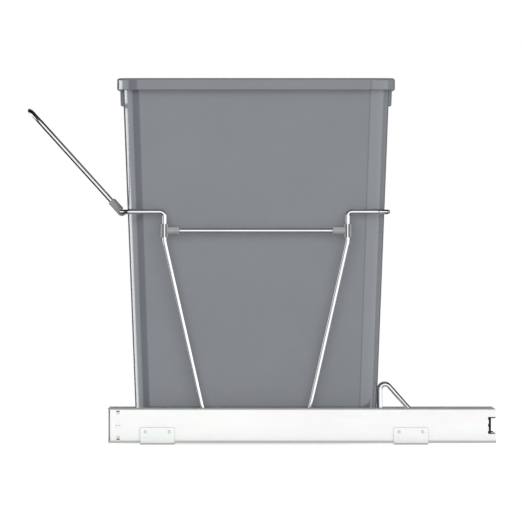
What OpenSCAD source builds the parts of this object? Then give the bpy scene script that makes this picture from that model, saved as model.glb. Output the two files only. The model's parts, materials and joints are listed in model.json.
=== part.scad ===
// Pull-out waste unit for a base cabinet: a moulded container in a wire carriage on ball-bearing slides.
// X is the width, Y the depth with the front at -Y, and Z is up. The origin is on the cabinet floor,
// in the middle of the four floor screws.

/* [Overall] */
// Width over the floor brackets
overall_width = 270; // [266:1:300]
// Diameter of the carriage wire
wire_d = 6; // [5:0.1:6.5]

/* [Slides] */
// Length of the cabinet member
slide_length = 508; // [480:1:560]
// Height of the cabinet member
slide_height = 46; // [45:0.5:48]
// Thickness of the closed slide
slide_thickness = 12.7; // [12.6:0.05:13.2]
// Sheet thickness of the three members
slide_sheet = 1.2; // [1.1:0.05:1.25]
// Ball diameter between the cabinet and middle members
outer_ball_d = 4.76; // [4.6:0.02:4.9]
// Ball diameter between the middle and drawer members
inner_ball_d = 4; // [3.9:0.02:4.1]
// Balls in each row
balls_per_row = 8; // [4:1:10]
// Length of a ball cage
cage_length = 190; // [150:1:210]
// Distance from the front of the slide to the middle of the ball cages
cage_setback = 250; // [240:1:260]

/* [Floor brackets] */
// Distance between the front and rear floor screws
bracket_spacing = 332; // [300:1:350]
// Distance from the front of the slide to the front bracket's middle
bracket_setback = 64.5; // [50:0.5:80]
// Length of a bracket
bracket_length = 45; // [40:0.5:60]
// Height of a bracket's upright plate
bracket_height = 22; // [20:0.5:30]
// Thickness of the bracket sheet
bracket_sheet = 2; // [1.5:0.1:3]
// Distance from the slide's outer face to the floor screw
screw_inset = 25; // [20:0.5:30]
// Diameter of the floor screw holes
screw_hole_d = 5.5; // [4:0.1:6.5]

/* [Container] */
// Length over the rim
container_length = 364; // [340:1:380]
// Width over the rim
container_width = 260; // [245:1:265]
// Height of the container
container_height = 450; // [420:1:480]
// Thickness of the moulded wall
container_wall = 2.5; // [2:0.1:3.5]
// Height of the turned-down rim
rim_height = 15.7; // [12:0.1:20]
// How far the rim stands out from the wall
rim_overhang = 8; // [7:0.1:10]
// Corner radius of the wall just below the rim
wall_corner_r = 28; // [24:0.5:32]
// Distance from the front of the slide to the container's middle
container_setback = 193.7; // [190:0.1:200]

/* [Wire carriage] */
// Height of the loops' level wires above the cabinet floor
ring_height = 304.7; // [290:0.1:320]
// Height of the spreader bars below the level wires
spreader_drop = 24.7; // [22:0.1:30]
// Distance of the legs' tops from the container's middle
leg_top_offset = 119.9; // [110:0.1:130]
// Height of the rear stop's crown above the cabinet floor
stop_height = 78.4; // [72:0.1:90]
// Distance between two floor wires
floor_wire_pitch = 58; // [50:0.5:62]

/* [Handle] */
// Distance from the pivot to the far wire
handle_reach = 178.8; // [160:0.1:185]
// Distance between the handle's two legs
handle_width = 160; // [130:1:175]
// Lean of the handle above the horizontal, in degrees
handle_lean = 47.9; // [35:0.1:60]
// Radius of the handle's corners
handle_corner_r = 25; // [20:0.5:35]

/* [Hidden] */

// Smoothness of round parts
wire_fn = 32;
bend_fn = 96;
race_fn = 96;
ball_fn = 48;
bore_fn = 48;
corner_steps = 12;
// How far a cut runs past the face that it opens
overrun = 1;

// Bends of a wire that aren't square have a turn with a short sine and cosine, so that runs meet them
// exactly. A shallow bend is made in parts
stop_slope = atan2(0.752192, 0.658944);
shallow_part_deg = atan2(0.07584, 0.99712);
shallow_parts = 3;
shallow_deg = 30;

// Places of the slides
slide_face_x = overall_width / 2 - bracket_sheet;
slide_inner_x = slide_face_x - slide_thickness;
slide_front_y = -bracket_spacing / 2 - bracket_setback;
slide_rear_y = slide_front_y + slide_length;
slide_mid_z = bracket_sheet + slide_height / 2;

// Races: the balls run in curled edges, and each race is a little larger than its ball
race_gap = 0.02;
outer_race_r = outer_ball_d / 2 + race_gap;
inner_race_r = inner_ball_d / 2 + race_gap;
// Across the slide, u runs inwards from the outer face and v up from the middle
outer_u = slide_sheet + outer_race_r;
outer_v = slide_height / 2 - slide_sheet - outer_race_r;
// The middle member's edge is an S: a valley under the outer ball, then a crown over the inner ball
s_bend_deg = 32;
s_reach = outer_race_r + inner_race_r + slide_sheet;
inner_u = outer_u + s_reach * cos(s_bend_deg);
inner_v = outer_v - s_reach * sin(s_bend_deg);
outer_curl_end_deg = 25;
crown_end_deg = 50;
valley_start_deg = 232;
// The outer cage's strip runs between the cabinet member's web and the middle member's web
cage_sheet = 0.6;
cage_gap = 0.12;
middle_web_gap = 0.24;
middle_u = slide_sheet + cage_gap + cage_sheet + middle_web_gap;
// The drawer member's edge turns over from its web into the inner race
drawer_bend_r = 0.6;
drawer_fold_r = drawer_bend_r + slide_sheet / 2;
drawer_fold_u = slide_thickness - slide_sheet / 2 - drawer_fold_r;
drawer_fold_reach = inner_race_r + slide_sheet / 2 + drawer_fold_r;
drawer_fold_deg = acos((drawer_fold_u - inner_u) / drawer_fold_reach);
drawer_fold_v = inner_v - drawer_fold_reach * sin(drawer_fold_deg);

// Ends of the members inside the cabinet member
notch_depth = 9;
notch_height = 22.6;
notch_gap = 3;
member_rear_y = slide_rear_y - notch_depth - notch_gap;
middle_front_gap = 4;
drawer_front_gap = 1;
// Front edge and stop tabs of the cabinet member
coined_edge = 2.5;
coined_depth = 0.4;
tab_setback = 11;
tab_window = 4;
tab_height = 4.5;
tab_rise = 14.6;
tab_reach = 0.7;
dimple_d = 1.6;
dimple_pitch = 4;
rear_corner_cut = 3;

// Ball rows and cages
cage_mid_y = slide_front_y + cage_setback;
cage_end_margin = 11;
ball_pitch = (cage_length - 2 * cage_end_margin) / (balls_per_row - 1);
ball_gap = 0.05;
inner_cage_u = inner_u - inner_race_r - cage_gap - cage_sheet;
valley_r = outer_race_r + slide_sheet;
valley_under_v = outer_v - sqrt(pow(valley_r, 2) - pow(inner_cage_u - outer_u, 2));
inner_cage_top_v = min(inner_v + cage_sheet / 2, valley_under_v - cage_gap);
inner_cage_end_gap = 0.36;
inner_cage_end_u = slide_thickness - slide_sheet - inner_cage_end_gap;
crown_clear_r = inner_race_r + slide_sheet + cage_gap;
outer_cage_low_v = outer_v - cage_sheet / 2;
outer_cage_end_u = inner_u - sqrt(pow(crown_clear_r, 2) - pow(outer_cage_low_v - inner_v, 2));

// Brackets and their rivets
bracket_corner_r = 5;
flange_reach = 37;
bracket_bend_r = 2.5;
bracket_rivet_pitch = 31.2;
bracket_rivet_z = 16.6;
rivet_d = 2.8;
rivet_head_d = 3.8;
rivet_head_h = 0.5;

// Straps between the wire base and the drawer members
strap_sheet = 1.5;
strap_height = 24;
strap_overrun = 10;
strap_rivet_pitch = 165;
strap_rivet_rise = 6;
strap_rivet_d = 4;
strap_rivet_head_d = 8;
strap_rivet_head_h = 1.1;

// Container
base_drop = 4.5;
seat_gap = 0.3;
base_wire_z = slide_mid_z - base_drop;
floor_wire_z = base_wire_z + wire_d;
container_y = slide_front_y + container_setback;
container_bottom_z = floor_wire_z + wire_d / 2 + seat_gap;
container_top_z = container_bottom_z + container_height;
rim_bottom_z = container_top_z - rim_height;
wall_half_x = container_width / 2 - rim_overhang;
wall_half_y = container_length / 2 - rim_overhang;
wall_taper_share = 0.039;
corner_taper_share = 0.016;
rim_corner_ease = 1;
rim_corner_r = wall_corner_r + rim_overhang - rim_corner_ease;
rim_wall = 2;
rim_edge_r = 1.5;
rim_lip_r = 0.6;
bottom_edge_r = 6;
bottom_thickness = 3;
edge_steps = 3;
// Ledge under the rim at the front and back, which the wall follows inside and out
ledge_half_x = 80;
ledge_margin = 1;
ledge_drop = 20.4;
ledge_inset_top = 2.9;
ledge_inset_low = 4.3;
ledge_edge_r = 2.2;
ledge_end_r = 3;
ledge_low_z = rim_bottom_z - ledge_drop;

// Wire loops
ring_side_gap = 2.7;
ring_front_gap = 6.1;
ring_rear_gap = 1.9;
ring_x = half_at(wall_half_x, ring_height) + ring_side_gap + wire_d / 2;
ring_front_y = container_y - half_at(wall_half_y, ring_height) - ring_front_gap - wire_d / 2;
ring_rear_y = container_y + half_at(wall_half_y, ring_height) + ring_rear_gap + wire_d / 2;
ring_corner_r = 12.5;
leg_top_r = 6;
leg_knee_r = 30;
leg_knee_drop = 39;
leg_knee_z = ring_height - leg_knee_drop;
leg_foot_z = base_wire_z - wire_d / 2;
leg_lean = shallow_parts * shallow_part_deg;
spreader_z = ring_height - spreader_drop;
weld_gap = 0.02;
base_x = slide_inner_x - strap_sheet - wire_d / 2;
leg_foot_x = base_x - wire_d - weld_gap;
leg_spread = sqrt(pow((leg_knee_z - leg_foot_z) * tan(leg_lean), 2) - pow(ring_x - leg_foot_x, 2));

// Floor wires, with a low upturn at the front and a stop at the rear
floor_wires = 4;
floor_bend_r = 7;
front_stop_rise = 16.5;
front_stop_gap = 2;
front_lip_rise = 11.5;
stop_gap = 0.5;
stop_y = container_y + half_at(wall_half_y, stop_height) + stop_gap + wire_d / 2;
front_stop_y = container_y - half_at(wall_half_y, floor_wire_z) - front_stop_gap - wire_d / 2;
stop_bend_length = floor_bend_r * tan((90 + stop_slope) / 2);
stop_apex_z = stop_height - floor_bend_r + stop_bend_length;
base_front_y = front_stop_y + floor_bend_r + wire_d / 2;
stop_drop = stop_apex_z - base_wire_z;
base_rear_y = stop_y + (stop_drop * cos(stop_slope) - wire_d) / sin(stop_slope);
stop_run = (base_rear_y - stop_y) * cos(stop_slope) + stop_drop * sin(stop_slope) + wire_d / 2;
base_corner_r = 20;
cross_wire_shares = [0.11, 0.41, 0.73];

// Clips on the loops
clip_fit = 0.1;
clip_d = 10.5;
clip_length = 17.5;
clip_slot = 4.8;
sleeve_d = 10;
sleeve_end = 19.4;
sleeve_stop = 7.5;
sleeve_chamfer = 0.6;
bar_end_gap = 0.3;

// The container's wall and its slices: a slice holds its height, half width, half length, corner radius
// and how far the ledges stand out of its ends

// Half of the wall's outer size at a height, narrower towards the bottom
function half_at(half_at_rim, z) = half_at_rim - wall_taper_share * (rim_bottom_z - z);

// Outer corner radius of the wall at a height
function corner_at(z) = wall_corner_r - corner_taper_share * (rim_bottom_z - z);

// How far the ledge's face stands out of the wall at a height
function ledge_at(z) = let (
    share = (z - ledge_low_z) / (rim_bottom_z - ledge_low_z),
    inset = ledge_inset_low + (ledge_inset_top - ledge_inset_low) * share
) container_length / 2 - inset - half_at(wall_half_y, z);

function wall_slice(z, inset, ledge) = [
    z, half_at(wall_half_x, z) - inset, half_at(wall_half_y, z) - inset, corner_at(z) - inset, ledge
];

function rim_slice(z, inset) = [
    z, container_width / 2 - inset, container_length / 2 - inset, rim_corner_r - inset, 0
];

// Rounded edge between a wall and the floor, from the floor up
function floor_edge(z, r, inset) = [for (i = [0 : edge_steps]) let (a = 90 * i / edge_steps)
    wall_slice(z + r * (1 - cos(a)), inset + r * (1 - sin(a)), 0)];

// The ledge from below: out of the wall round its lower edge, then up to a height
function ledge_rise(low_z, top_z, inset) = concat(
    [wall_slice(low_z, inset, 0)],
    [for (i = [1 : edge_steps]) let (a = 90 * i / edge_steps, z = low_z + ledge_edge_r * (1 - cos(a)))
        wall_slice(z, inset, ledge_at(z) - ledge_edge_r * (1 - sin(a)))],
    [wall_slice(top_z, inset, ledge_at(top_z))]
);

function reversed(list) = [for (i = [len(list) - 1 : -1 : 0]) list[i]];

// Quarter of an outline round one corner
function corner_points(s, quarter) = let (
    sx = quarter == 0 || quarter == 3 ? 1 : -1,
    sy = quarter < 2 ? 1 : -1
) [for (i = [0 : corner_steps]) let (a = 90 * (quarter + i / corner_steps))
    [sx * (s[1] - s[3]) + s[3] * cos(a), sy * (s[2] - s[3]) + s[3] * sin(a), s[0]]];

// Outline of a ledge along one end, from +X to -X
function ledge_points(s) = let (
    x = min(ledge_half_x, s[1] - s[3] - ledge_margin),
    half = [for (i = [0 : edge_steps]) let (a = 90 * i / edge_steps)
        [x - ledge_end_r * (1 - cos(a)), s[2] + s[4] * sin(a), s[0]]]
) concat(half, [for (p = reversed(half)) [-p[0], p[1], p[2]]]);

function slice_points(s) = concat(
    corner_points(s, 0), ledge_points(s), corner_points(s, 1),
    corner_points(s, 2), [for (p = ledge_points(s)) [-p[0], -p[1], p[2]]], corner_points(s, 3)
);

// Directions and bends of wires

function unit(v) = v / norm(v);

function bend_deg(a, b, c) = acos(unit(b - a) * unit(c - b));

function bend_length(a, b, c, r) = r * tan(bend_deg(a, b, c) / 2);

// Length that the bends take from a corner point on either side
function trim(points, bends, i) = i == 0 || i == len(points) - 1 ? 0
    : bend_length(points[i - 1], points[i], points[i + 1], bends[i - 1]);

// Direction from the start of the bend at b to its centre
function inward(a, b, c) = let (f = unit(b - a), d = unit(c - b)) unit(d - f * (f * d));

// The same direction once the wire has gone round the bend
function inward_after(a, b, c) = let (f = unit(b - a), d = unit(c - b)) -unit(f - d * (d * f));

// Turn about the wire from one bend's plane to the next one's
function roll(points, i) = i == 0 ? 0 : let (
    from = inward_after(points[i - 1], points[i], points[i + 1]),
    to = inward(points[i], points[i + 1], points[i + 2])
) atan2(cross(from, to) * unit(points[i + 1] - points[i]), from * to);

// Solids that several pieces use

// Draws on both sides: 1 is right, -1 is left
module on_side(side) {
    mirror([side < 0 ? 1 : 0, 0, 0]) children();
}

// Places children with their own axes along three given directions
module placed(at, x, y, z) {
    multmatrix([
        [x[0], y[0], z[0], at[0]],
        [x[1], y[1], z[1], at[1]],
        [x[2], y[2], z[2], at[2]],
        [0, 0, 0, 1]
    ]) children();
}

// Straight wire from one point to another
module rod(from, to) {
    z = unit(to - from);
    side = abs(z[0]) < abs(z[1]) ? [1, 0, 0] : [0, 1, 0];
    x = unit(cross(side, z));
    placed(from, x, cross(z, x), z) cylinder(d = wire_d, h = norm(to - from), $fn = wire_fn);
}

// Places children at the far end of a bend that starts along +Z and turns towards +X
module past_bend(r, deg) {
    translate([r, 0, 0]) rotate([0, deg, 0]) translate([-r, 0, 0]) children();
}

// The bend itself, made a little too long and cut square where the next run starts
module bend(r, deg) {
    spare_deg = 3;
    difference() {
        placed([r, 0, 0], [-1, 0, 0], [0, 0, 1], [0, 1, 0])
            rotate_extrude(angle = deg + spare_deg, $fn = bend_fn)
                translate([r, 0]) circle(d = wire_d, $fn = wire_fn);
        past_bend(r, deg) translate([-wire_d, -wire_d, 0]) cube([2 * wire_d, 2 * wire_d, wire_d]);
    }
}

// A bend made in some equal parts, and what comes after it
module bent(r, part_deg, parts) {
    bend(r, part_deg);
    past_bend(r, part_deg) {
        if (parts > 1) bent(r, part_deg, parts - 1) children();
        else children();
    }
}

// The run from corner point i along +Z, its bend, and the rest of the wire from there
module wire_from(points, bends, i) {
    run = norm(points[i + 1] - points[i]) - trim(points, bends, i) - trim(points, bends, i + 1);
    cylinder(d = wire_d, h = run, $fn = wire_fn);
    if (i < len(points) - 2) {
        deg = bend_deg(points[i], points[i + 1], points[i + 2]);
        parts = deg < shallow_deg ? shallow_parts : 1;
        translate([0, 0, run]) rotate([0, 0, roll(points, i)])
            bent(bends[i], deg / parts, parts) wire_from(points, bends, i + 1);
    }
}

// One bent wire along corner points, with a bend radius for each inner point
module wire(points, bends) {
    z = unit(points[1] - points[0]);
    x = inward(points[0], points[1], points[2]);
    placed(points[0], x, cross(z, x), z) wire_from(points, bends, 0);
}

// Closed solid through a row of slices, each with as many points as the next
module loft(slices) {
    rings = [for (s = slices) slice_points(s)];
    n = len(rings[0]);
    last = len(rings) - 1;
    polyhedron(
        points = [for (ring = rings, p = ring) p],
        faces = concat(
            [[for (j = [0 : n - 1]) j], [for (j = [n - 1 : -1 : 0]) last * n + j]],
            [for (i = [0 : last - 1], j = [0 : n - 1]) let (k = (j + 1) % n)
                [i * n + j, (i + 1) * n + j, (i + 1) * n + k]],
            [for (i = [0 : last - 1], j = [0 : n - 1]) let (k = (j + 1) % n)
                [i * n + j, (i + 1) * n + k, i * n + k]]
        )
    );
}

// Flat shape with rounded corners, from the origin
module rounded_sheet(size, r) {
    translate([r, 0]) square([size[0] - 2 * r, size[1]]);
    translate([0, r]) square([size[0], size[1] - 2 * r]);
    for (x = [r, size[0] - r], y = [r, size[1] - r]) translate([x, y]) circle(r = r, $fn = bore_fn);
}

// Slides

// Part of a ring about the origin, between two angles
module ring_sector(r_in, r_out, from_deg, to_deg) {
    steps = 6;
    wedge_share = 1.5;
    intersection() {
        difference() {
            circle(r = r_out, $fn = race_fn);
            circle(r = r_in, $fn = race_fn);
        }
        polygon(concat([[0, 0]], [for (i = [0 : steps]) let (a = from_deg + (to_deg - from_deg) * i / steps)
            wedge_share * r_out * [cos(a), sin(a)]]));
    }
}

// Runs a section of the slide from a front end to a rear end
module along_slide(side, front_y, rear_y) {
    on_side(side) translate([slide_face_x, rear_y, slide_mid_z]) mirror([1, 0, 0]) rotate([90, 0, 0])
        linear_extrude(height = rear_y - front_y) for (s = [0, 1]) mirror([0, s, 0]) children();
}

// Runs a row of balls, or of pockets for them, above and below the middle
module ball_rows(side, u, v, r) {
    on_side(side) for (i = [0 : balls_per_row - 1], s = [-1, 1])
        translate([slide_face_x - u, cage_mid_y - cage_length / 2 + cage_end_margin + i * ball_pitch,
            slide_mid_z + s * v]) sphere(r = r, $fn = ball_fn);
}

module outer_section() {
    square([slide_sheet, outer_v]);
    translate([outer_u, outer_v])
        ring_sector(outer_race_r, outer_race_r + slide_sheet, outer_curl_end_deg, 180);
}

module middle_section() {
    translate([middle_u, 0]) square([slide_sheet, outer_v - outer_race_r - slide_sheet / 2]);
    // The S is drawn in a frame that is turned so that its two bends meet on the X axis
    intersection() {
        translate([outer_u, outer_v]) rotate(-s_bend_deg) {
            ring_sector(outer_race_r, valley_r, 180 + 2 * s_bend_deg, 360);
            translate([s_reach, 0]) ring_sector(inner_race_r, inner_race_r + slide_sheet,
                crown_end_deg + s_bend_deg, 180);
        }
        translate([middle_u, 0]) square([slide_thickness, slide_height]);
    }
}

module drawer_section() {
    fold_overlap_deg = 60;
    translate([slide_thickness - slide_sheet, 0]) square([slide_sheet, drawer_fold_v]);
    translate([drawer_fold_u, drawer_fold_v]) {
        ring_sector(drawer_bend_r, drawer_bend_r + slide_sheet, 0, 90);
        // The rest is drawn in a frame that is turned so that the two bends meet on the X axis
        rotate(180 - drawer_fold_deg) {
            ring_sector(drawer_bend_r, drawer_bend_r + slide_sheet, -fold_overlap_deg, 0);
            translate([drawer_fold_reach, 0]) ring_sector(inner_race_r, inner_race_r + slide_sheet,
                valley_start_deg + drawer_fold_deg - 180, 180);
        }
    }
}

module outer_cage_section() {
    translate([slide_sheet + cage_gap, 0]) square([cage_sheet, outer_v]);
    translate([slide_sheet + cage_gap, outer_cage_low_v])
        square([outer_cage_end_u - slide_sheet - cage_gap, cage_sheet]);
}

module inner_cage_section() {
    translate([inner_cage_u, 0]) square([cage_sheet, inner_cage_top_v]);
    translate([inner_cage_u, inner_cage_top_v - cage_sheet])
        square([inner_cage_end_u - inner_cage_u, cage_sheet]);
}

// Block through the cabinet member's web, from the outer face inwards
module web_cut(y, z, size_y, size_z) {
    translate([slide_face_x - slide_sheet - overrun, y, z])
        cube([slide_sheet + 2 * overrun, size_y, size_z]);
}

module outer_member(side) {
    tab_y = slide_front_y + tab_setback;
    color([0.86, 0.88, 0.88]) {
        difference() {
            along_slide(side, slide_front_y, slide_rear_y) outer_section();
            on_side(side) {
                // Coined front edge
                translate([slide_face_x - coined_depth, slide_front_y - overrun, bracket_sheet - overrun])
                    cube([overrun, coined_edge + overrun, slide_height + 2 * overrun]);
                // Open notch at the rear end
                web_cut(slide_rear_y - notch_depth, slide_mid_z - notch_height / 2,
                    notch_depth + overrun, notch_height);
                // Rear top corner, cut off at 45 degrees
                translate([slide_inner_x - overrun, slide_rear_y,
                    slide_mid_z + slide_height / 2 - rear_corner_cut]) rotate([45, 0, 0])
                    cube([slide_thickness + 2 * overrun, 2 * rear_corner_cut, 2 * rear_corner_cut]);
                // Windows behind the stop tabs
                for (s = [-1, 1]) web_cut(tab_y, slide_mid_z + (s > 0 ? tab_rise : -tab_rise - tab_height),
                    tab_window, tab_height);
                // Locating holes between the tabs
                for (i = [-0.5, 0.5]) translate([slide_face_x - slide_sheet - overrun,
                    tab_y + dimple_pitch * i + tab_window / 2, slide_mid_z])
                    rotate([0, 90, 0]) cylinder(d = dimple_d, h = slide_sheet + 2 * overrun, $fn = bore_fn);
                bracket_rivet_places() rivet_hole(slide_face_x - slide_sheet - overrun,
                    slide_sheet + 2 * overrun);
            }
        }
        on_side(side) for (s = [-1, 1]) translate([slide_face_x - slide_sheet - tab_reach,
            tab_y - slide_sheet, slide_mid_z + (s > 0 ? tab_rise : -tab_rise - tab_height)])
            cube([slide_sheet / 2 + tab_reach, slide_sheet, tab_height]);
    }
}

module middle_member(side) {
    color([0.80, 0.82, 0.82]) along_slide(side, slide_front_y + middle_front_gap, member_rear_y)
        middle_section();
}

module drawer_member(side) {
    color([0.84, 0.86, 0.86]) difference() {
        along_slide(side, slide_front_y + drawer_front_gap, member_rear_y) drawer_section();
        on_side(side) strap_rivet_places() translate([slide_inner_x - overrun, 0, 0])
            rotate([0, 90, 0]) cylinder(d = strap_rivet_d, h = slide_sheet + 2 * overrun, $fn = bore_fn);
    }
}

module outer_cage(side) {
    color([0.72, 0.70, 0.62]) difference() {
        along_slide(side, cage_mid_y - cage_length / 2, cage_mid_y + cage_length / 2) outer_cage_section();
        ball_rows(side, outer_u, outer_v, outer_ball_d / 2 + ball_gap);
    }
}

module inner_cage(side) {
    color([0.72, 0.70, 0.62]) difference() {
        along_slide(side, cage_mid_y - cage_length / 2, cage_mid_y + cage_length / 2) inner_cage_section();
        ball_rows(side, inner_u, inner_v, inner_ball_d / 2 + ball_gap);
    }
}

module outer_balls(side) {
    color([0.65, 0.67, 0.70]) ball_rows(side, outer_u, outer_v, outer_ball_d / 2);
}

module inner_balls(side) {
    color([0.65, 0.67, 0.70]) ball_rows(side, inner_u, inner_v, inner_ball_d / 2);
}

// Floor brackets

// Places of the four rivets that hold the brackets of one slide
module bracket_rivet_places() {
    for (end = [-0.5, 0.5], i = [-0.5, 0.5])
        translate([0, end * bracket_spacing + i * bracket_rivet_pitch, bracket_rivet_z]) children();
}

module rivet_hole(from_x, depth) {
    translate([from_x, 0, 0]) rotate([0, 90, 0]) cylinder(d = rivet_d, h = depth, $fn = bore_fn);
}

// L-shaped bracket: an upright plate outside the slide and a flange turned in under it
module bracket(side, end) {
    color([0.88, 0.89, 0.88]) on_side(side) difference() {
        union() {
            translate([overall_width / 2 - bracket_sheet, end * bracket_spacing / 2 - bracket_length / 2,
                bracket_bend_r]) cube([bracket_sheet, bracket_length, bracket_height - bracket_bend_r]);
            // Bend between the plate and the flange
            translate([overall_width / 2 - bracket_bend_r, end * bracket_spacing / 2 + bracket_length / 2,
                bracket_bend_r]) rotate([90, 0, 0]) linear_extrude(height = bracket_length)
                ring_sector(bracket_bend_r - bracket_sheet, bracket_bend_r, 270, 360);
            translate([overall_width / 2 - bracket_bend_r - flange_reach,
                end * bracket_spacing / 2 - bracket_length / 2, 0])
                linear_extrude(height = bracket_sheet) {
                    rounded_sheet([flange_reach, bracket_length], bracket_corner_r);
                    translate([flange_reach / 2, 0]) square([flange_reach / 2, bracket_length]);
                }
        }
        translate([slide_face_x - screw_inset, end * bracket_spacing / 2, -overrun])
            cylinder(d = screw_hole_d, h = bracket_sheet + 2 * overrun, $fn = bore_fn);
        bracket_rivet_places() rivet_hole(slide_face_x - overrun, bracket_sheet + 2 * overrun);
    }
}

module bracket_rivets() {
    color([0.82, 0.83, 0.84]) for (side = [-1, 1]) on_side(side) bracket_rivet_places() {
        translate([slide_face_x - slide_sheet, 0, 0]) rotate([0, 90, 0])
            cylinder(d = rivet_d, h = slide_sheet + bracket_sheet, $fn = bore_fn);
        translate([overall_width / 2, 0, 0]) rotate([0, 90, 0])
            cylinder(d = rivet_head_d, h = rivet_head_h, $fn = bore_fn);
    }
}

// Wire base

// Places of the rivets that hold one strap
module strap_rivet_places() {
    for (i = [-1 : 1]) translate([0, (base_front_y + base_rear_y) / 2 + i * strap_rivet_pitch,
        slide_mid_z + strap_rivet_rise]) children();
}

module side_strap(side) {
    color([0.80, 0.81, 0.83]) on_side(side) difference() {
        translate([slide_inner_x - strap_sheet, base_front_y - strap_overrun,
            slide_mid_z - strap_height / 2]) cube([strap_sheet, base_rear_y - base_front_y + 2 * strap_overrun, strap_height]);
        strap_rivet_places() translate([slide_inner_x - strap_sheet - overrun, 0, 0])
            rotate([0, 90, 0]) cylinder(d = strap_rivet_d, h = strap_sheet + 2 * overrun, $fn = bore_fn);
    }
}

module strap_rivets() {
    grip = strap_sheet + slide_sheet;
    color([0.75, 0.77, 0.80]) for (side = [-1, 1]) on_side(side) strap_rivet_places()
        translate([slide_inner_x - strap_sheet, 0, 0]) rotate([0, 90, 0]) {
            cylinder(d = strap_rivet_d, h = grip, $fn = bore_fn);
            translate([0, 0, grip]) cylinder(d = strap_rivet_head_d, h = strap_rivet_head_h, $fn = bore_fn);
            translate([0, 0, -strap_rivet_head_h])
                cylinder(d = strap_rivet_head_d, h = strap_rivet_head_h, $fn = bore_fn);
        }
}

// Closed frame of wire that carries the floor wires, in two like halves
module base_wire() {
    corners = [
        [0, base_front_y, base_wire_z], [base_x, base_front_y, base_wire_z],
        [base_x, base_rear_y, base_wire_z], [0, base_rear_y, base_wire_z]
    ];
    color([0.83, 0.84, 0.86]) for (side = [-1, 1]) on_side(side)
        wire(corners, [base_corner_r, base_corner_r]);
}

module cross_wire(index) {
    y = base_front_y + cross_wire_shares[index] * (base_rear_y - base_front_y);
    end_x = base_x - wire_d / 2;
    color([0.83, 0.84, 0.86]) rod([-end_x, y, base_wire_z], [end_x, y, base_wire_z]);
}

// Floor wire: up at the front, level under the container, and over the rear stop to the base wire
module floor_wire(number) {
    x = (number - (floor_wires + 1) / 2) * floor_wire_pitch;
    corners = [
        [x, front_stop_y, floor_wire_z + front_stop_rise],
        [x, front_stop_y, floor_wire_z],
        [x, stop_y, floor_wire_z],
        [x, stop_y, stop_apex_z],
        [x, stop_y + stop_run * cos(stop_slope), stop_apex_z - stop_run * sin(stop_slope)]
    ];
    color([0.83, 0.84, 0.86]) wire(corners, [floor_bend_r, floor_bend_r, floor_bend_r]);
}

module front_lip_wire() {
    end_x = (floor_wires - 1) / 2 * floor_wire_pitch + wire_d;
    y = front_stop_y - wire_d;
    z = floor_wire_z + front_lip_rise;
    color([0.83, 0.84, 0.86]) rod([-end_x, y, z], [end_x, y, z]);
}

// Loops and spreader bars

// Loop of one wire: the cross wire, then on each side a level arm and a leg down to the base wire
module loop(cross_y, end) {
    top_y = container_y + end * leg_top_offset;
    corners = [
        [0, cross_y, ring_height],
        [ring_x, cross_y, ring_height],
        [ring_x, top_y, ring_height],
        [ring_x, top_y, leg_knee_z],
        [leg_foot_x, top_y - end * leg_spread, leg_foot_z]
    ];
    color([0.83, 0.84, 0.86]) for (side = [-1, 1]) on_side(side)
        wire(corners, [ring_corner_r, leg_top_r, leg_knee_r]);
}

module spreader_bar(side) {
    reach = leg_top_offset - sleeve_stop - bar_end_gap;
    color([0.83, 0.84, 0.86]) rod([side * ring_x, container_y - reach, spreader_z],
        [side * ring_x, container_y + reach, spreader_z]);
}

// Moulded clip: a split cylinder along Z that snaps on a wire, open to +X, and a sleeve along +Y
module snap_clip() {
    color([0.60, 0.62, 0.64]) difference() {
        union() {
            translate([0, 0, -clip_length / 2]) cylinder(d = clip_d, h = clip_length, $fn = bore_fn);
            rotate([-90, 0, 0]) cylinder(d = sleeve_d, h = sleeve_end - sleeve_chamfer, $fn = bore_fn);
            translate([0, sleeve_end - sleeve_chamfer, 0]) rotate([-90, 0, 0])
                cylinder(d1 = sleeve_d, d2 = sleeve_d - 2 * sleeve_chamfer, h = sleeve_chamfer, $fn = bore_fn);
        }
        translate([0, 0, -clip_length / 2 - overrun])
            cylinder(d = wire_d + clip_fit, h = clip_length + 2 * overrun, $fn = bore_fn);
        translate([0, -clip_slot / 2, -clip_length / 2 - overrun])
            cube([clip_d, clip_slot, clip_length + 2 * overrun]);
        translate([0, sleeve_stop, 0]) rotate([-90, 0, 0])
            cylinder(d = wire_d + clip_fit, h = sleeve_end, $fn = bore_fn);
    }
}

module bar_clip(side, end) {
    on_side(side) translate([ring_x, container_y + end * leg_top_offset, spreader_z])
        mirror([0, end > 0 ? 1 : 0, 0]) snap_clip();
}

// Handle

// The handle's own frame: the pivot at its origin and the legs along Z
module handle_frame() {
    translate([0, ring_front_y, ring_height]) rotate([90 - handle_lean, 0, 0]) children();
}

module handle_wire() {
    foot = sleeve_stop + bar_end_gap;
    half = handle_width / 2;
    color([0.83, 0.84, 0.86]) handle_frame() wire(
        [[-half, 0, foot], [-half, 0, handle_reach], [half, 0, handle_reach], [half, 0, foot]],
        [handle_corner_r, handle_corner_r]);
}

module handle_clip(side) {
    handle_frame() translate([side * handle_width / 2, 0, 0]) rotate([90, 0, 90]) snap_clip();
}

// Container

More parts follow.
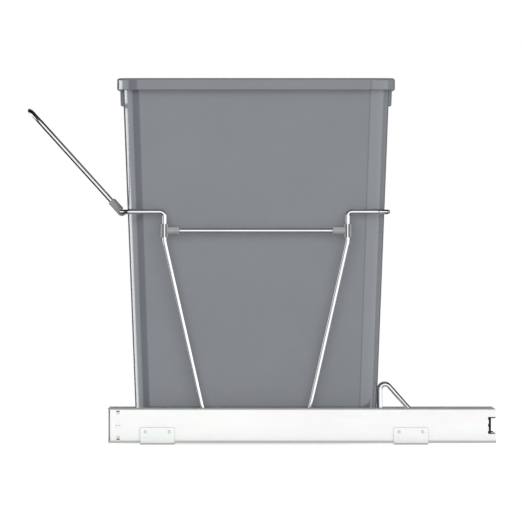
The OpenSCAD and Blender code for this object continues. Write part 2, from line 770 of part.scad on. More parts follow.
// The moulding's section goes up the outside, over the turned-down rim and down the inside
module waste_container() {
    roof_z = container_top_z - container_wall;
    outside = concat(
        floor_edge(container_bottom_z, bottom_edge_r, 0),
        ledge_rise(ledge_low_z, roof_z, 0)
    );
    rim = concat(
        [rim_slice(roof_z, rim_wall), rim_slice(rim_bottom_z + rim_lip_r, rim_wall),
            rim_slice(rim_bottom_z, rim_wall - rim_lip_r), rim_slice(rim_bottom_z, rim_lip_r),
            rim_slice(rim_bottom_z + rim_lip_r, 0)],
        [for (i = [0 : edge_steps]) let (a = 90 * i / edge_steps)
            rim_slice(container_top_z - rim_edge_r * (1 - sin(a)), rim_edge_r * (1 - cos(a)))],
        [wall_slice(container_top_z, container_wall - rim_edge_r, 0),
            wall_slice(container_top_z - rim_edge_r, container_wall, 0)]
    );
    inside = concat(
        floor_edge(container_bottom_z + bottom_thickness, bottom_edge_r - container_wall, container_wall),
        ledge_rise(ledge_low_z + container_wall, roof_z - ledge_edge_r, container_wall),
        [wall_slice(roof_z, container_wall, 0)]
    );
    color([0.53, 0.54, 0.56]) translate([0, container_y, 0]) loft(concat(outside, rim, reversed(inside)));
}

outer_member(-1);  // outer_member_left
outer_member(1);  // outer_member_right
middle_member(-1);  // middle_member_left
middle_member(1);  // middle_member_right
drawer_member(-1);  // drawer_member_left
drawer_member(1);  // drawer_member_right
outer_cage(-1);  // outer_cage_left
outer_cage(1);  // outer_cage_right
inner_cage(-1);  // inner_cage_left
inner_cage(1);  // inner_cage_right
outer_balls(-1);  // outer_balls_left
outer_balls(1);  // outer_balls_right
inner_balls(-1);  // inner_balls_left
inner_balls(1);  // inner_balls_right
bracket(-1, -1);  // bracket_front_left
bracket(1, -1);  // bracket_front_right
bracket(-1, 1);  // bracket_rear_left
bracket(1, 1);  // bracket_rear_right
bracket_rivets();
side_strap(-1);  // side_strap_left
side_strap(1);  // side_strap_right
strap_rivets();
base_wire();
cross_wire(0);  // cross_wire_front
cross_wire(1);  // cross_wire_middle
cross_wire(2);  // cross_wire_rear
floor_wire(1);  // floor_wire_1
floor_wire(2);  // floor_wire_2
floor_wire(3);  // floor_wire_3
floor_wire(4);  // floor_wire_4
front_lip_wire();
loop(ring_front_y, -1);  // front_loop
loop(ring_rear_y, 1);  // rear_loop
spreader_bar(-1);  // spreader_bar_left
spreader_bar(1);  // spreader_bar_right
bar_clip(-1, -1);  // bar_clip_front_left
bar_clip(1, -1);  // bar_clip_front_right
bar_clip(-1, 1);  // bar_clip_rear_left
bar_clip(1, 1);  // bar_clip_rear_right
handle_wire();
handle_clip(-1);  // handle_clip_left
handle_clip(1);  // handle_clip_right
waste_container();
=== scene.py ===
import json
from math import pi, radians

import bmesh
import bpy
from mathutils import Matrix, Vector


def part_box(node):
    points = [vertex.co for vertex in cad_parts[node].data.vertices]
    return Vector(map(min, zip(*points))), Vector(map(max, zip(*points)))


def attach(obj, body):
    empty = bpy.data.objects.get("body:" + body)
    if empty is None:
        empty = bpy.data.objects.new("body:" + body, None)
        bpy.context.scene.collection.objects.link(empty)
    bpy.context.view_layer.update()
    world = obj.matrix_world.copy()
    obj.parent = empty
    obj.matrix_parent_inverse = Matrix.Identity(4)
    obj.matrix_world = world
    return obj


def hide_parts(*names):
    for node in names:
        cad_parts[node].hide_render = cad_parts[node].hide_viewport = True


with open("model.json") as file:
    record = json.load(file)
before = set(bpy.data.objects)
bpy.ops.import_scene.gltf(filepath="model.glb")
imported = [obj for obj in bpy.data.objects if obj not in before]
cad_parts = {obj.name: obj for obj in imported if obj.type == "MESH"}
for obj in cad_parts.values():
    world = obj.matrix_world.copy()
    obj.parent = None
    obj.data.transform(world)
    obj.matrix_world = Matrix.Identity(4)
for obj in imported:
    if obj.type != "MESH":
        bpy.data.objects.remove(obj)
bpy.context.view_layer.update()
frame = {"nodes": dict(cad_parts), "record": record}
mm = 0.001
print("frame loaded:", len(frame["nodes"]), "nodes")


# helpers for meshes
near = 0.1 * mm          # levels closer than this count as the same
levelSlack = 1 * mm      # and the middle of a face may be this far off its level
mergeGap = 0.002 * mm    # points closer than this become one
cutGap = 1e-6            # and where a plane cuts, points closer to it than this lie on it
flatOn = 0.9             # a face is flat on when this much of its normal is along an axis
upright = 0.1            # and upright when no more than this much of it is along Z
smoothAngle = 35         # edges with a sharper angle than this, in degrees, stay sharp


def facesWhere(bm, test):
    return [f for f in bm.faces if test(f.calc_center_median(), f.normal)]


def vertsIn(geom):
    return [v for v in geom if isinstance(v, bmesh.types.BMVert)]


def addBox(bm, size, place):
    made = bmesh.ops.create_cube(bm, size=1)
    bmesh.ops.scale(bm, vec=size, verts=made["verts"])
    bmesh.ops.translate(bm, vec=place, verts=made["verts"])


def roundEdges(bm, edges, offset, segments):
    bmesh.ops.bevel(bm, geom=edges, offset=offset, segments=segments, affect="EDGES",
                    profile=0.5, material=-1)


# makes points that meet into one, and turns all the faces the same way
def cleanUp(bm):
    bmesh.ops.remove_doubles(bm, verts=bm.verts, dist=mergeGap)
    bmesh.ops.recalc_face_normals(bm, faces=bm.faces)


def meshFrom(bm, name, material):
    mesh = bpy.data.meshes.new(name)
    bm.to_mesh(mesh)
    bm.free()
    mesh.materials.append(material)
    return mesh


def placePiece(mesh, name, body):
    mesh.shade_smooth()
    piece = bpy.data.objects.new(name, mesh)
    bpy.context.scene.collection.objects.link(piece)
    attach(piece, body)
    return piece


def finishPiece(bm, name, body, material):
    cleanUp(bm)
    mesh = meshFrom(bm, name, material)
    placePiece(mesh, name, body)
    mesh.set_sharp_from_angle(angle=radians(smoothAngle))


def middleOf(node):
    low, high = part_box(node)
    return (low + high) / 2


# the box of a slide's outer member, and the X of its outer face
def slideFace(name, side):
    low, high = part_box(f"outer_member_{name}")
    return low, high, high.x if side > 0 else low.x


# helpers for materials

# each input, by its name or number, is linked where a socket is given and set where a value is
def fillInputs(tree, node, inputs):
    for label, value in inputs.items():
        if isinstance(value, bpy.types.NodeSocket):
            tree.links.new(value, node.inputs[label])
        else:
            node.inputs[label].default_value = value


def addNode(tree, kind, inputs=None, **settings):
    node = tree.nodes.new(kind)
    for key, value in settings.items():
        setattr(node, key, value)
    fillInputs(tree, node, inputs or {})
    return node


def addMath(tree, operation, *terms):
    return addNode(tree, "ShaderNodeMath", dict(enumerate(terms)), operation=operation).outputs[0]


# takes a value from one range to another
def addRange(tree, value, before, after, **settings):
    inputs = {"Value": value, "From Min": before[0], "From Max": before[1],
              "To Min": after[0], "To Max": after[1]}
    return addNode(tree, "ShaderNodeMapRange", inputs, **settings).outputs[0]


def addRamp(tree, share, colours):
    ramp = addNode(tree, "ShaderNodeValToRGB", {0: share})
    elements = ramp.color_ramp.elements
    while len(elements) < len(colours):
        elements.new(0.5)
    for number, colour in enumerate(colours):
        elements[number].position = number / (len(colours) - 1)
        elements[number].color = (*colour, 1)
    return ramp.outputs[0]


def mixShaders(tree, share, first, second):
    return addNode(tree, "ShaderNodeMixShader", {0: share, 1: first, 2: second}).outputs[0]


# 1 for a ray that a glossy or clear surface sent on, and otherwise 0
def glossShare(tree, rays):
    return addMath(tree, "MAXIMUM", rays.outputs["Is Glossy Ray"],
                   rays.outputs["Is Transmission Ray"])


def grey(level):
    return level, level, level, 1


def newGroup(name, inputs, outputs):
    tree = bpy.data.node_groups.new(name, "ShaderNodeTree")
    for label, kind, value in inputs:
        socket = tree.interface.new_socket(name=label, in_out="INPUT", socket_type=kind)
        socket.default_value = value
    for label, kind in outputs:
        tree.interface.new_socket(name=label, in_out="OUTPUT", socket_type=kind)
    return tree, addNode(tree, "NodeGroupInput"), addNode(tree, "NodeGroupOutput")


patterns = {
    "coarseDetail": 4, "fineDetail": 2, "fineScale": 9, "fineShare": 0.25,
    "blotchLow": 0.40, "blotchHigh": 0.85,
    "reliefDetail": 3, "reliefRoughness": 0.6,
    # painted shade: the AO levels at which a finish's colour is darkened fully, and not at all
    "edgeSamples": 6, "paintedShadeSamples": 8, "paintedShadeFull": 0.25, "paintedShadeNone": 0.85,
    "ior": 1.5,
}


# soft blotches at two scales, as plating and moulded skin have
def makeBlotches():
    tree, given, result = newGroup(
        "Blotches",
        [("Vector", "NodeSocketVector", (0, 0, 0)), ("Scale", "NodeSocketFloat", 20.0),
         ("Low", "NodeSocketFloat", 0.0), ("High", "NodeSocketFloat", 1.0)],
        [("Value", "NodeSocketFloat")])
    vector, scale = given.outputs["Vector"], given.outputs["Scale"]
    coarse = addNode(tree, "ShaderNodeTexNoise", {
        "Vector": vector, "Scale": scale, "Detail": patterns["coarseDetail"]})
    fine = addNode(tree, "ShaderNodeTexNoise", {
        "Vector": vector, "Scale": addMath(tree, "MULTIPLY", scale, patterns["fineScale"]),
        "Detail": patterns["fineDetail"]})
    both = addMath(tree, "MULTIPLY_ADD", fine.outputs[0], patterns["fineShare"], coarse.outputs[0])
    spread = addRange(tree, both, (patterns["blotchLow"], patterns["blotchHigh"]),
                      (given.outputs["Low"], given.outputs["High"]))
    fillInputs(tree, result, {"Value": spread})
    return tree


# fine relief, stretched by the vector that comes in
def makeRelief():
    tree, given, result = newGroup(
        "Relief",
        [("Vector", "NodeSocketVector", (0, 0, 0)), ("Scale", "NodeSocketFloat", 400.0)],
        [("Height", "NodeSocketFloat")])
    noise = addNode(tree, "ShaderNodeTexNoise", {
        "Vector": given.outputs["Vector"], "Scale": given.outputs["Scale"],
        "Detail": patterns["reliefDetail"], "Roughness": patterns["reliefRoughness"]})
    fillInputs(tree, result, {"Height": noise.outputs[0]})
    return tree


blotches = makeBlotches()
relief = makeRelief()


# one finish: its colours, how rough it is, and its relief, all from the named groups
def makeFinish(name, look):
    material = bpy.data.materials.new(name)
    material.use_nodes = True
    tree = material.node_tree
    place = addNode(tree, "ShaderNodeTexCoord")
    stretched = addNode(tree, "ShaderNodeMapping", {
        "Vector": place.outputs["Object"], "Scale": look.get("stretch", (1, 1, 1))}).outputs[0]

    tint = addNode(tree, "ShaderNodeGroup", {
        "Vector": stretched, "Scale": look["tintScale"]}, node_tree=blotches)
    colour = addRamp(tree, tint.outputs[0], look["colours"])
    # painted shade: the colour is made darker in corners, recesses and next to other parts,
    # wherever the AO node finds another surface close by
    if "paintedShadeReach" in look:
        reach = addNode(tree, "ShaderNodeAmbientOcclusion", {
            "Distance": look["paintedShadeReach"]}, samples=patterns["paintedShadeSamples"])
        paintedShadeFactor = addRange(tree, reach.outputs["AO"], (patterns["paintedShadeFull"], patterns["paintedShadeNone"]),
                         (look["paintedShadeLevel"], 1))
        darker = addNode(tree, "ShaderNodeMix", {"Factor": 1, "A": colour, "B": paintedShadeFactor},
                         data_type="RGBA", blend_type="MULTIPLY")
        colour = darker.outputs["Result"]

    smudge = addNode(tree, "ShaderNodeGroup", {
        "Vector": stretched, "Scale": look["smudgeScale"],
        "Low": look["rough"][0], "High": look["rough"][1]}, node_tree=blotches)

    grain = addNode(tree, "ShaderNodeGroup", {
        "Vector": stretched, "Scale": look["grainScale"]}, node_tree=relief)
    bump = addNode(tree, "ShaderNodeBump", {
        "Strength": look["grainStrength"], "Distance": look["grainDepth"],
        "Height": grain.outputs[0]})
    if "edge" in look:
        rounded = addNode(tree, "ShaderNodeBevel", {
            "Radius": look["edge"]}, samples=patterns["edgeSamples"])
        fillInputs(tree, bump, {"Normal": rounded.outputs[0]})

    fillInputs(tree, tree.nodes["Principled BSDF"], {
        "Base Color": colour, "Roughness": smudge.outputs[0], "Normal": bump.outputs[0],
        "Metallic": look.get("metallic", 0), "IOR": patterns["ior"],
        "Specular IOR Level": look.get("specular", 0.5)})
    return material


# some finishes paint shade into their colour near other surfaces: a reach, and how dark the colour
# gets within it
finishes = {
    "chrome": {
        "colours": [(0.80, 0.81, 0.83), (0.90, 0.91, 0.93)], "metallic": 1,
        "tintScale": 30, "smudgeScale": 60, "rough": (0.05, 0.13),
        "grainScale": 900, "grainStrength": 0.05, "grainDepth": 0.0002,
        "paintedShadeReach": 2.4 * mm, "paintedShadeLevel": 0.06,
    },
    "zinc": {
        "colours": [(0.90, 0.97, 0.945), (0.965, 0.985, 0.955), (0.97, 0.95, 0.965),
                    (0.975, 0.985, 0.98)],
        "metallic": 0.8, "stretch": (1, 0.25, 1),
        "tintScale": 26, "smudgeScale": 40, "rough": (0.36, 0.43),
        "grainScale": 1500, "grainStrength": 0.08, "grainDepth": 0.0002, "edge": 0.45 * mm,
        "paintedShadeReach": 1.6 * mm, "paintedShadeLevel": 0.4,
    },
    "rolledSteel": {
        "colours": [(0.42, 0.41, 0.38), (0.60, 0.59, 0.55)], "metallic": 1, "stretch": (1, 0.1, 1),
        "tintScale": 60, "smudgeScale": 90, "rough": (0.25, 0.42),
        "grainScale": 2500, "grainStrength": 0.15, "grainDepth": 0.0002,
    },
    # dark steel for the bands of painted shade at the slides' front ends
    "shadeBandSteel": {
        "colours": [(0.19, 0.19, 0.185), (0.28, 0.28, 0.27)], "metallic": 1, "stretch": (1, 1, 0.2),
        "tintScale": 160, "smudgeScale": 200, "rough": (0.34, 0.48),
        "grainScale": 2500, "grainStrength": 0.15, "grainDepth": 0.0002,
    },
    "ballSteel": {
        "colours": [(0.62, 0.64, 0.67), (0.74, 0.76, 0.79)], "metallic": 1,
        "tintScale": 300, "smudgeScale": 500, "rough": (0.06, 0.12),
        "grainScale": 3000, "grainStrength": 0.03, "grainDepth": 0.0001,
    },
    "rivetSteel": {
        "colours": [(0.60, 0.62, 0.63), (0.72, 0.74, 0.75)], "metallic": 1,
        "tintScale": 400, "smudgeScale": 500, "rough": (0.16, 0.30),
        "grainScale": 3000, "grainStrength": 0.1, "grainDepth": 0.0002, "edge": 0.5 * mm,
        "paintedShadeReach": 1.4 * mm, "paintedShadeLevel": 0.05,
    },
    "greyMoulding": {
        "colours": [(0.141, 0.153, 0.172), (0.154, 0.166, 0.186)], "specular": 1.0,
        "tintScale": 9, "smudgeScale": 14, "rough": (0.07, 0.12),
        "grainScale": 1400, "grainStrength": 0.02, "grainDepth": 0.0002,
    },
    "clipMoulding": {
        "colours": [(0.26, 0.275, 0.285), (0.31, 0.325, 0.335)],
        "tintScale": 120, "smudgeScale": 160, "rough": (0.30, 0.42),
        "grainScale": 2600, "grainStrength": 0.08, "grainDepth": 0.0002, "edge": 0.6 * mm,
        "paintedShadeReach": 2.6 * mm, "paintedShadeLevel": 0.15,
    },
    "blackRubber": {
        "colours": [(0.008, 0.008, 0.009), (0.018, 0.018, 0.02)], "specular": 0.15,
        "tintScale": 200, "smudgeScale": 200, "rough": (0.55, 0.70),
        "grainScale": 2600, "grainStrength": 0.15, "grainDepth": 0.0002,
    },
}
materials = {name: makeFinish(name, look) for name, look in finishes.items()}
print("finishes made:", len(materials))

finishOfSlot = {
    "zinc_steel": "zinc", "strap_steel": "zinc", "rivet_steel": "rivetSteel",
    "cage_steel": "rolledSteel", "ball_steel": "ballSteel", "chrome_wire": "chrome",
    "clip_plastic": "clipMoulding", "container_plastic": "greyMoulding",
}
for part in frame["record"]["subparts"]:
    for materialSlot in frame["nodes"][part["node"]].material_slots:
        materialSlot.material = materials[finishOfSlot[part["material_slot"]]]
print("CAD pieces dressed")


# Waste container: one sheet from the rim's lower edge over the top, down the inside and across
# the floor, which Solidify then thickens towards the outside
container = {
    "rimHeight": 15.7 * mm,
    "rimCorner": 35 * mm,
    "cornerSteps": 14,
    "rimRound": 3.2 * mm,
    "rimSteps": 5,
    "overhang": 6.9 * mm,
    "wall": 2.4 * mm,
    "taperShare": 0.039,
    "wallLevels": (0.38, 0.30, 0.22, 0.14),
    "ledgeHalf": 80 * mm,
    "ledgeDrop": 20.4 * mm,
    "ledgeReach": 3.8 * mm,
    "ledgeTopGap": 6 * mm,
    "ledgePast": 120 * mm,
    "floorRound": 4 * mm,
    "floorSteps": 4,
    "floorFillet": 7 * mm,
    "edgeRound": 1.1 * mm,
    "edgeSteps": 3,
    "edgeAngle": 40,
    "flatWeight": 100,
}


# the rim's side and the flange on top; gives back the face inside the flange
def startRim(bm, look, low, high):
    centre = (low + high) / 2
    rimLow = high.z - look["rimHeight"]
    made = bmesh.ops.create_grid(bm, x_segments=1, y_segments=1, size=0.5)
    bmesh.ops.scale(bm, vec=(high.x - low.x, high.y - low.y, 1), verts=made["verts"])
    bmesh.ops.translate(bm, vec=(centre.x, centre.y, rimLow), verts=made["verts"])
    bmesh.ops.bevel(bm, geom=list(bm.verts), offset=look["rimCorner"], segments=look["cornerSteps"],
                    affect="VERTICES", profile=0.5, material=-1)
    up = bmesh.ops.extrude_face_region(bm, geom=list(bm.faces))
    bmesh.ops.translate(bm, vec=(0, 0, look["rimHeight"]), verts=vertsIn(up["geom"]))
    bottom = facesWhere(bm, lambda place, normal: abs(place.z - rimLow) < near)
    bmesh.ops.delete(bm, geom=bottom, context="FACES_ONLY")
    top = facesWhere(bm, lambda place, normal: abs(normal.z) > flatOn)
    bmesh.ops.inset_region(bm, faces=top, thickness=look["overhang"] + look["wall"], depth=0,
                           use_even_offset=True)
    # the inset leaves a ring of four-sided faces round the one that is wanted
    middle = [f for f in bm.faces
              if abs(f.normal.z) > flatOn and len(f.verts) > look["cornerSteps"]]
    return min(middle, key=lambda f: f.calc_area())


# the wall, level by level, narrower towards the floor; gives back the floor's face
def sinkWall(bm, look, inner, levels, low, high):
    centre = (low + high) / 2
    inset = look["overhang"] + look["wall"]
    halfX = (high.x - low.x) / 2 - inset
    halfY = (high.y - low.y) / 2 - inset
    z = high.z
    for level in levels:
        step = bmesh.ops.extrude_face_region(bm, geom=[inner])
        moved = vertsIn(step["geom"])
        bmesh.ops.delete(bm, geom=[inner], context="FACES_ONLY")
        inner = next(f for f in step["geom"] if isinstance(f, bmesh.types.BMFace))
        shrink = look["taperShare"] * (z - level)
        bmesh.ops.translate(bm, vec=(0, 0, level - z), verts=moved)
        bmesh.ops.scale(bm, vec=((halfX - shrink) / halfX, (halfY - shrink) / halfY, 1),
                        verts=moved, space=Matrix.Translation((-centre.x, -centre.y, 0)))
        halfX -= shrink
        halfY -= shrink
        z = level
    return inner


# the edge between the rim's side and the flange
def roundRim(bm, look, high):
    def isRimSide(face):
        heights = [v.co.z for v in face.verts]
        tall = max(heights) - min(heights) > look["rimHeight"] - near
        return tall and abs(face.normal.z) < upright

    edges = [e for e in bm.edges if all(abs(v.co.z - high.z) < near for v in e.verts)
             and any(isRimSide(f) for f in e.link_faces)]
    roundEdges(bm, edges, look["rimRound"], look["rimSteps"])
    print("rim edges rounded:", len(edges))


# ledges at the front and back, pushed out of the wall between two levels
def addLedges(bm, look, top, bottom, low, high):
    centre = (low + high) / 2
    wallY = (high.y - low.y) / 2 - look["overhang"] / 2

    def wallFaces(side, reach):
        return facesWhere(bm, lambda place, normal: abs(normal.y) > flatOn
                          and abs(place.x - centre.x) < reach
                          and look["ledgePast"] < side * (place.y - centre.y) < wallY
                          and bottom - levelSlack < place.z < top + levelSlack)

    for side in (-1, 1):
        for x in (-look["ledgeHalf"], look["ledgeHalf"]):
            region = wallFaces(side, high.x)
            edges = list({e for f in region for e in f.edges})
            verts = list({v for f in region for v in f.verts})
            bmesh.ops.bisect_plane(bm, geom=region + edges + verts, plane_co=(centre.x + x, 0, 0),
                                   plane_no=(1, 0, 0), dist=cutGap)
        region = wallFaces(side, look["ledgeHalf"])
        step = bmesh.ops.extrude_face_region(bm, geom=region)
        bmesh.ops.delete(bm, geom=region, context="FACES_ONLY")
        bmesh.ops.translate(bm, vec=(0, side * look["ledgeReach"], 0), verts=vertsIn(step["geom"]))


def makeContainer(look):
    low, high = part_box("waste_container")
    floorZ = low.z + look["wall"]
    ledgeTop = high.z - look["ledgeTopGap"]
    ledgeBottom = high.z - look["rimHeight"] - look["ledgeDrop"] + look["wall"]
    levels = [ledgeTop, ledgeBottom, *look["wallLevels"], floorZ + look["floorFillet"], floorZ]
    bm = bmesh.new()
    inner = sinkWall(bm, look, startRim(bm, look, low, high), levels, low, high)
    roundRim(bm, look, high)
    roundEdges(bm, list(inner.edges), look["floorRound"], look["floorSteps"])
    addLedges(bm, look, ledgeTop, ledgeBottom, low, high)
    cleanUp(bm)
    # the sheet faces inwards, so that its thickness goes outwards
    floorFaces = [f for f in bm.faces if abs(f.normal.z) > flatOn
                  and f.calc_center_median().z < floorZ + levelSlack]
    if max(floorFaces, key=lambda f: f.calc_area()).normal.z < 0:
        bmesh.ops.reverse_faces(bm, faces=bm.faces)
    mesh = meshFrom(bm, "containerShell", materials["greyMoulding"])
    shell = placePiece(mesh, "containerShell", "container")
    thick = shell.modifiers.new("wall", "SOLIDIFY")
    thick.thickness = look["wall"]
    thick.offset = -1
    thick.use_even_offset = True
    thick.use_quality_normals = True
    edge = shell.modifiers.new("edges", "BEVEL")
    edge.width = look["edgeRound"]
    edge.segments = look["edgeSteps"]
    edge.limit_method = "ANGLE"
    edge.angle_limit = radians(look["edgeAngle"])
    shading = shell.modifiers.new("shading", "WEIGHTED_NORMAL")
    shading.weight = look["flatWeight"]
    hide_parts("waste_container")


makeContainer(container)
print("container made")


# Resistance welds where the wires of the base cross or meet
welds = {"length": 4.2 * mm, "width": 3.2 * mm, "height": 1.7 * mm, "rings": 6, "spokes": 10,
         "rearShare": 0.9, "rearDrop": 0.6 * mm, "floorWires": 4}


def addWeld(bm, place, along, look):
    made = bmesh.ops.create_uvsphere(bm, u_segments=look["spokes"], v_segments=look["rings"],
                                     radius=0.5)
    bmesh.ops.scale(bm, vec=(look["width"], look["length"], look["height"]), verts=made["verts"])
    turn = Vector((0, 1, 0)).rotation_difference(Vector(along)).to_matrix()
    bmesh.ops.rotate(bm, cent=(0, 0, 0), matrix=turn, verts=made["verts"])
    bmesh.ops.translate(bm, vec=place, verts=made["verts"])


def makeWelds(look):
    bm = bmesh.new()
    alongY, alongZ = (0, 1, 0), (0, 0, 1)
    baseLow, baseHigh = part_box("base_wire")
    base = middleOf("base_wire")
    lip = middleOf("front_lip_wire")
    wire = baseHigh.z - baseLow.z
    crossWires = [f"cross_wire_{place}" for place in ("front", "middle", "rear")]
    runs = [middleOf(node).y for node in crossWires] + [baseLow.y + wire / 2]
    for number in range(1, look["floorWires"] + 1):
        x = middleOf(f"floor_wire_{number}").x
        for y in runs:
            addWeld(bm, (x, y, baseHigh.z), alongY, look)
        addWeld(bm, (x, lip.y + wire / 2, lip.z), alongZ, look)
        addWeld(bm, (x, baseHigh.y - wire * look["rearShare"], baseHigh.z - look["rearDrop"]),
                alongY, look)
    for node in crossWires:
        low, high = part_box(node)
        for x in (low.x, high.x):
            addWeld(bm, (x, middleOf(node).y, base.z), alongY, look)
    for node, inward in (("front_loop", -1), ("rear_loop", 1)):
        low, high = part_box(node)
        footY = high.y if inward < 0 else low.y
        for side in (-1, 1):
            addWeld(bm, (side * (baseHigh.x - wire), footY + inward * wire / 2, base.z),
                    alongZ, look)
    finishPiece(bm, "carriageWelds", "carriage", materials["chrome"])


makeWelds(welds)
print("welds made")


# Black cushions that clip over the notches at the rear ends of the slides: a stem, three knobs
# and two arms each
cushion = {
    "notchDepth": 9 * mm, "lap": 0.6 * mm, "webThick": 1.5 * mm, "proud": 0.4 * mm,
    "stem": 2.9 * mm, "height": 21.5 * mm,
    "knobDepth": 3.4 * mm, "knobHeight": 3.6 * mm, "knobAhead": 0.9 * mm, "knobShare": 0.43,
    "armDepth": 8.6 * mm, "armHeight": 1.5 * mm, "armShare": 0.47,
    "stagger": 0.02 * mm, "edge": 0.3 * mm, "edgeSteps": 3,
}


def makeCushions(look):
    bm = bmesh.new()
    # for each block its level as a share of the cushion's height, how far it is set forward,
    # its depth and its height
    blocks = [(0, 0, look["stem"], look["height"])]
    blocks += [(share, look["knobAhead"], look["knobDepth"], look["knobHeight"])
               for share in (-look["knobShare"], 0, look["knobShare"])]
    blocks += [(share, 0, look["armDepth"], look["armHeight"])
               for share in (-look["armShare"], look["armShare"])]
    deep = look["webThick"] + 2 * look["proud"]
    for name, side in (("left", -1), ("right", 1)):
        low, high, faceX = slideFace(name, side)
        x = faceX + side * (look["proud"] - deep / 2)
        front = high.y - look["notchDepth"] - look["lap"]
        middle = (low.z + high.z) / 2
        for number, (share, ahead, depth, height) in enumerate(blocks):
            # each a little thinner than the one before, so that no two faces lie in one plane
            addBox(bm, (deep - number * look["stagger"], depth, height),
                   (x, front - ahead + depth / 2, middle + share * look["height"]))
    roundEdges(bm, list(bm.edges), look["edge"], look["edgeSteps"])
    finishPiece(bm, "slideCushions", "cabinet_side", materials["blackRubber"])


makeCushions(cushion)
print("cushions made")


# Dark bands at the front ends of the slides: painted shade, standing in for the shadow line where
# the nested members end
frontShade = {"back": 0.9 * mm, "width": 1.2 * mm, "proud": 0.15 * mm, "thick": 0.3 * mm,
         "margin": 2.2 * mm, "edge": 0.06 * mm, "edgeSteps": 2}


def makeFrontShadeBands(look):
    bm = bmesh.new()
    for name, side in (("left", -1), ("right", 1)):
        low, high, faceX = slideFace(name, side)
        x = faceX + side * (look["proud"] - look["thick"] / 2)
        y = low.y + look["back"] + look["width"] / 2
        addBox(bm, (look["thick"], look["width"], high.z - low.z - 2 * look["margin"]),
               (x, y, (low.z + high.z) / 2))
    roundEdges(bm, list(bm.edges), look["edge"], look["edgeSteps"])
    finishPiece(bm, "slideFrontShadeBands", "cabinet_side", materials["shadeBandSteel"])


makeFrontShadeBands(frontShade)
print("shear bands made")


# Floor, light and camera
stage = {
    "floorSize": 8, "floorDrop": 0.3 * mm, "floorSteps": 64,
    "paint": 0.80, "shade": 0.40, "glow": 0.72,
    "paperX": 150 * mm, "paperY": 290 * mm, "paperFade": 40 * mm, "paperGlow": 0.4,
    "pixel": 1.309 * mm, "across": 522, "lens": 1500, "sensor": 36, "clipStart": 1,
    "aimY": -30.3 * mm, "aimZ": 240.2 * mm, "faceX": 133 * mm,
    "lampAimZ": 0.25,
}
lamps = {
    "softboxFront": {"place": (1.9, -2.0, 2.1), "size": 1.2, "power": 28},
    "softboxRear": {"place": (1.6, 2.3, 1.5), "size": 1.2, "power": 24},
}


# the floor is painted grey for the light that falls on it, pale for the camera, and in gloss
# white paper close to the slides, with the studio further out
def makePaleFloor():
    material = bpy.data.materials.new("paleFloor")
    material.use_nodes = True
    tree = material.node_tree
    tree.nodes.clear()
    paint = addNode(tree, "ShaderNodeBsdfDiffuse", {"Color": grey(stage["paint"])})
    shade = addNode(tree, "ShaderNodeBsdfDiffuse", {"Color": grey(stage["shade"])})
    glow = addNode(tree, "ShaderNodeEmission", {"Strength": stage["glow"]})
    pale = addNode(tree, "ShaderNodeAddShader", {0: shade.outputs[0], 1: glow.outputs[0]})
    place = addNode(tree, "ShaderNodeTexCoord")
    split = addNode(tree, "ShaderNodeSeparateXYZ", {0: place.outputs["Object"]})
    fades = []
    for axis, reach in (("X", stage["paperX"]), ("Y", stage["paperY"])):
        away = addMath(tree, "ABSOLUTE", split.outputs[axis])
        fades.append(addRange(tree, away, (reach, reach + stage["paperFade"]), (1, 0),
                              interpolation_type="SMOOTHSTEP"))
    paper = addNode(tree, "ShaderNodeEmission", {"Strength": stage["paperGlow"]})
    through = addNode(tree, "ShaderNodeBsdfTransparent")
    inGloss = mixShaders(tree, addMath(tree, "MULTIPLY", *fades),
                         through.outputs[0], paper.outputs[0])
    rays = addNode(tree, "ShaderNodeLightPath")
    plain = mixShaders(tree, rays.outputs["Is Camera Ray"], paint.outputs[0], pale.outputs[0])
    surface = mixShaders(tree, glossShare(tree, rays), plain, inGloss)
    addNode(tree, "ShaderNodeOutputMaterial", {"Surface": surface})
    return material


def makeFloor():
    bm = bmesh.new()
    bmesh.ops.create_circle(bm, cap_ends=True, segments=stage["floorSteps"],
                            radius=stage["floorSize"] / 2)
    bmesh.ops.translate(bm, vec=(0, 0, -stage["floorDrop"]), verts=bm.verts)
    floor = bpy.data.objects.new("floor", meshFrom(bm, "floor", makePaleFloor()))
    bpy.context.scene.collection.objects.link(floor)


# What shines in gloss round the object: brightness by the direction on the horizon, in degrees
# from +X towards +Y, and by the height above it
studio = {
    "bands": [(-180, 0.5), (-174, 0.45), (-169, 0.06), (-137, 0.03), (-110, 0.03),
              (-106, 1.35), (-72, 1.25), (-67, 0.08), (-31, 0.17), (-27, 1.12), (9, 1.12),
              (11, 0.5), (15, 0.5), (18, 1.4), (60, 1.5), (92, 1.65), (98, 0.6), (135, 0.5),
              (150, 0.06), (169, 0.06), (174, 0.45), (180, 0.5)],
    "topStart": 0.57, "topEnd": 0.71, "topShade": 0.06, "topSide": 0.4,
    "strip": [(-180, 0), (-137, 0), (-133, 1), (-109, 0.95), (-106, 0), (180, 0)],
    "stripLight": 4.3, "stripShift": 0.02, "stripHalf": 0.07, "stripFade": 0.13,
    "fill": 0.90, "fillTop": 0.80, "fillStart": 0.25,
}


# a curve over the directions on the horizon, from pairs of degrees and level
def addCurve(tree, share, pairs, peak):
    curve = addNode(tree, "ShaderNodeFloatCurve", {"Value": share})
    points = curve.mapping.curves[0].points
    while len(points) < len(pairs):
        points.new(0.5, 0.5)
    for point, (degrees, level) in zip(points, pairs):
        point.location = ((degrees + 180) / 360, level / peak)
        point.handle_type = "VECTOR"
    curve.mapping.update()
    return curve.outputs[0]


def addBackground(tree, strength):
    return addNode(tree, "ShaderNodeBackground", {
        "Color": grey(1), "Strength": strength}).outputs[0]


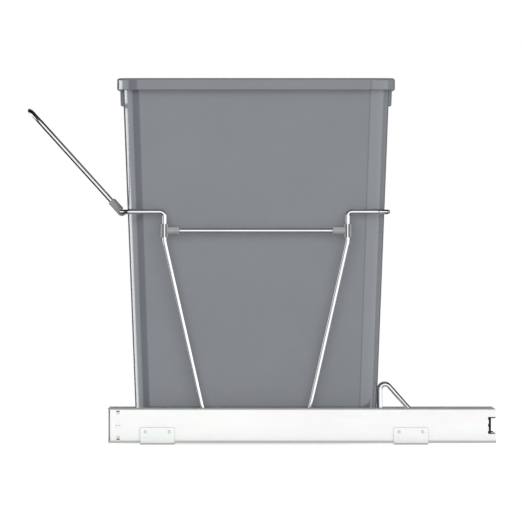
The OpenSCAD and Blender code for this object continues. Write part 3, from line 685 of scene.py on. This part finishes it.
def makeWorld():
    world = bpy.data.worlds.new("studio")
    bpy.context.scene.world = world
    world.use_nodes = True
    tree = world.node_tree
    tree.nodes.clear()
    place = addNode(tree, "ShaderNodeTexCoord")
    split = addNode(tree, "ShaderNodeSeparateXYZ", {0: place.outputs["Generated"]})
    angle = addMath(tree, "ARCTAN2", split.outputs["Y"], split.outputs["X"])
    share = addRange(tree, angle, (-pi, pi), (0, 1))
    height = addMath(tree, "ABSOLUTE", split.outputs["Z"])

    # the bands round the horizon, which a shade above and below them covers
    peak = max(level for _, level in studio["bands"])
    bands = addCurve(tree, share, studio["bands"], peak)
    steep = addMath(tree, "MULTIPLY_ADD", addMath(tree, "ABSOLUTE", split.outputs["Y"]),
                    studio["topSide"], height)
    shaded = addRange(tree, steep, (studio["topStart"], studio["topEnd"]),
                      (peak, studio["topShade"]), interpolation_type="SMOOTHSTEP")

    # the bright strip is narrow and low
    strip = addCurve(tree, share, studio["strip"], 1)
    offLevel = addMath(tree, "ADD", split.outputs["Z"], studio["stripShift"])
    window = addRange(tree, addMath(tree, "ABSOLUTE", offLevel),
                      (studio["stripHalf"], studio["stripFade"]), (studio["stripLight"], 0))
    shine = addMath(tree, "MULTIPLY_ADD", strip, window, addMath(tree, "MULTIPLY", bands, shaded))

    fill = addRange(tree, height, (studio["fillStart"], 1), (studio["fill"], studio["fillTop"]))
    rays = addNode(tree, "ShaderNodeLightPath")
    lit = mixShaders(tree, glossShare(tree, rays),
                     addBackground(tree, fill), addBackground(tree, shine))
    seen = mixShaders(tree, rays.outputs["Is Camera Ray"], lit, addBackground(tree, 1))
    addNode(tree, "ShaderNodeOutputWorld", {"Surface": seen})


def makeLamp(name, place, size, power):
    lamp = bpy.data.lights.new(name, "AREA")
    lamp.shape = "DISK"
    lamp.size = size
    lamp.energy = power
    holder = bpy.data.objects.new(name, lamp)
    bpy.context.scene.collection.objects.link(holder)
    aim = Vector((0, 0, stage["lampAimZ"])) - Vector(place)
    holder.location = place
    holder.rotation_euler = aim.to_track_quat("-Z", "Y").to_euler()
    holder.visible_glossy = False


def makeCamera():
    camera = bpy.data.cameras.new("camera")
    camera.lens = stage["lens"]
    camera.sensor_width = stage["sensor"]
    away = stage["pixel"] * stage["across"] * stage["lens"] / stage["sensor"]
    camera.clip_start = stage["clipStart"]
    camera.clip_end = 4 * away
    holder = bpy.data.objects.new("camera", camera)
    bpy.context.scene.collection.objects.link(holder)
    holder.location = (stage["faceX"] + away, stage["aimY"], stage["aimZ"])
    holder.rotation_euler = (pi / 2, 0, pi / 2)
    bpy.context.scene.camera = holder


makeFloor()
makeWorld()
for name, look in lamps.items():
    makeLamp(name, look["place"], look["size"], look["power"])
makeCamera()
bpy.context.scene.view_settings.view_transform = "Standard"
print("stage set")
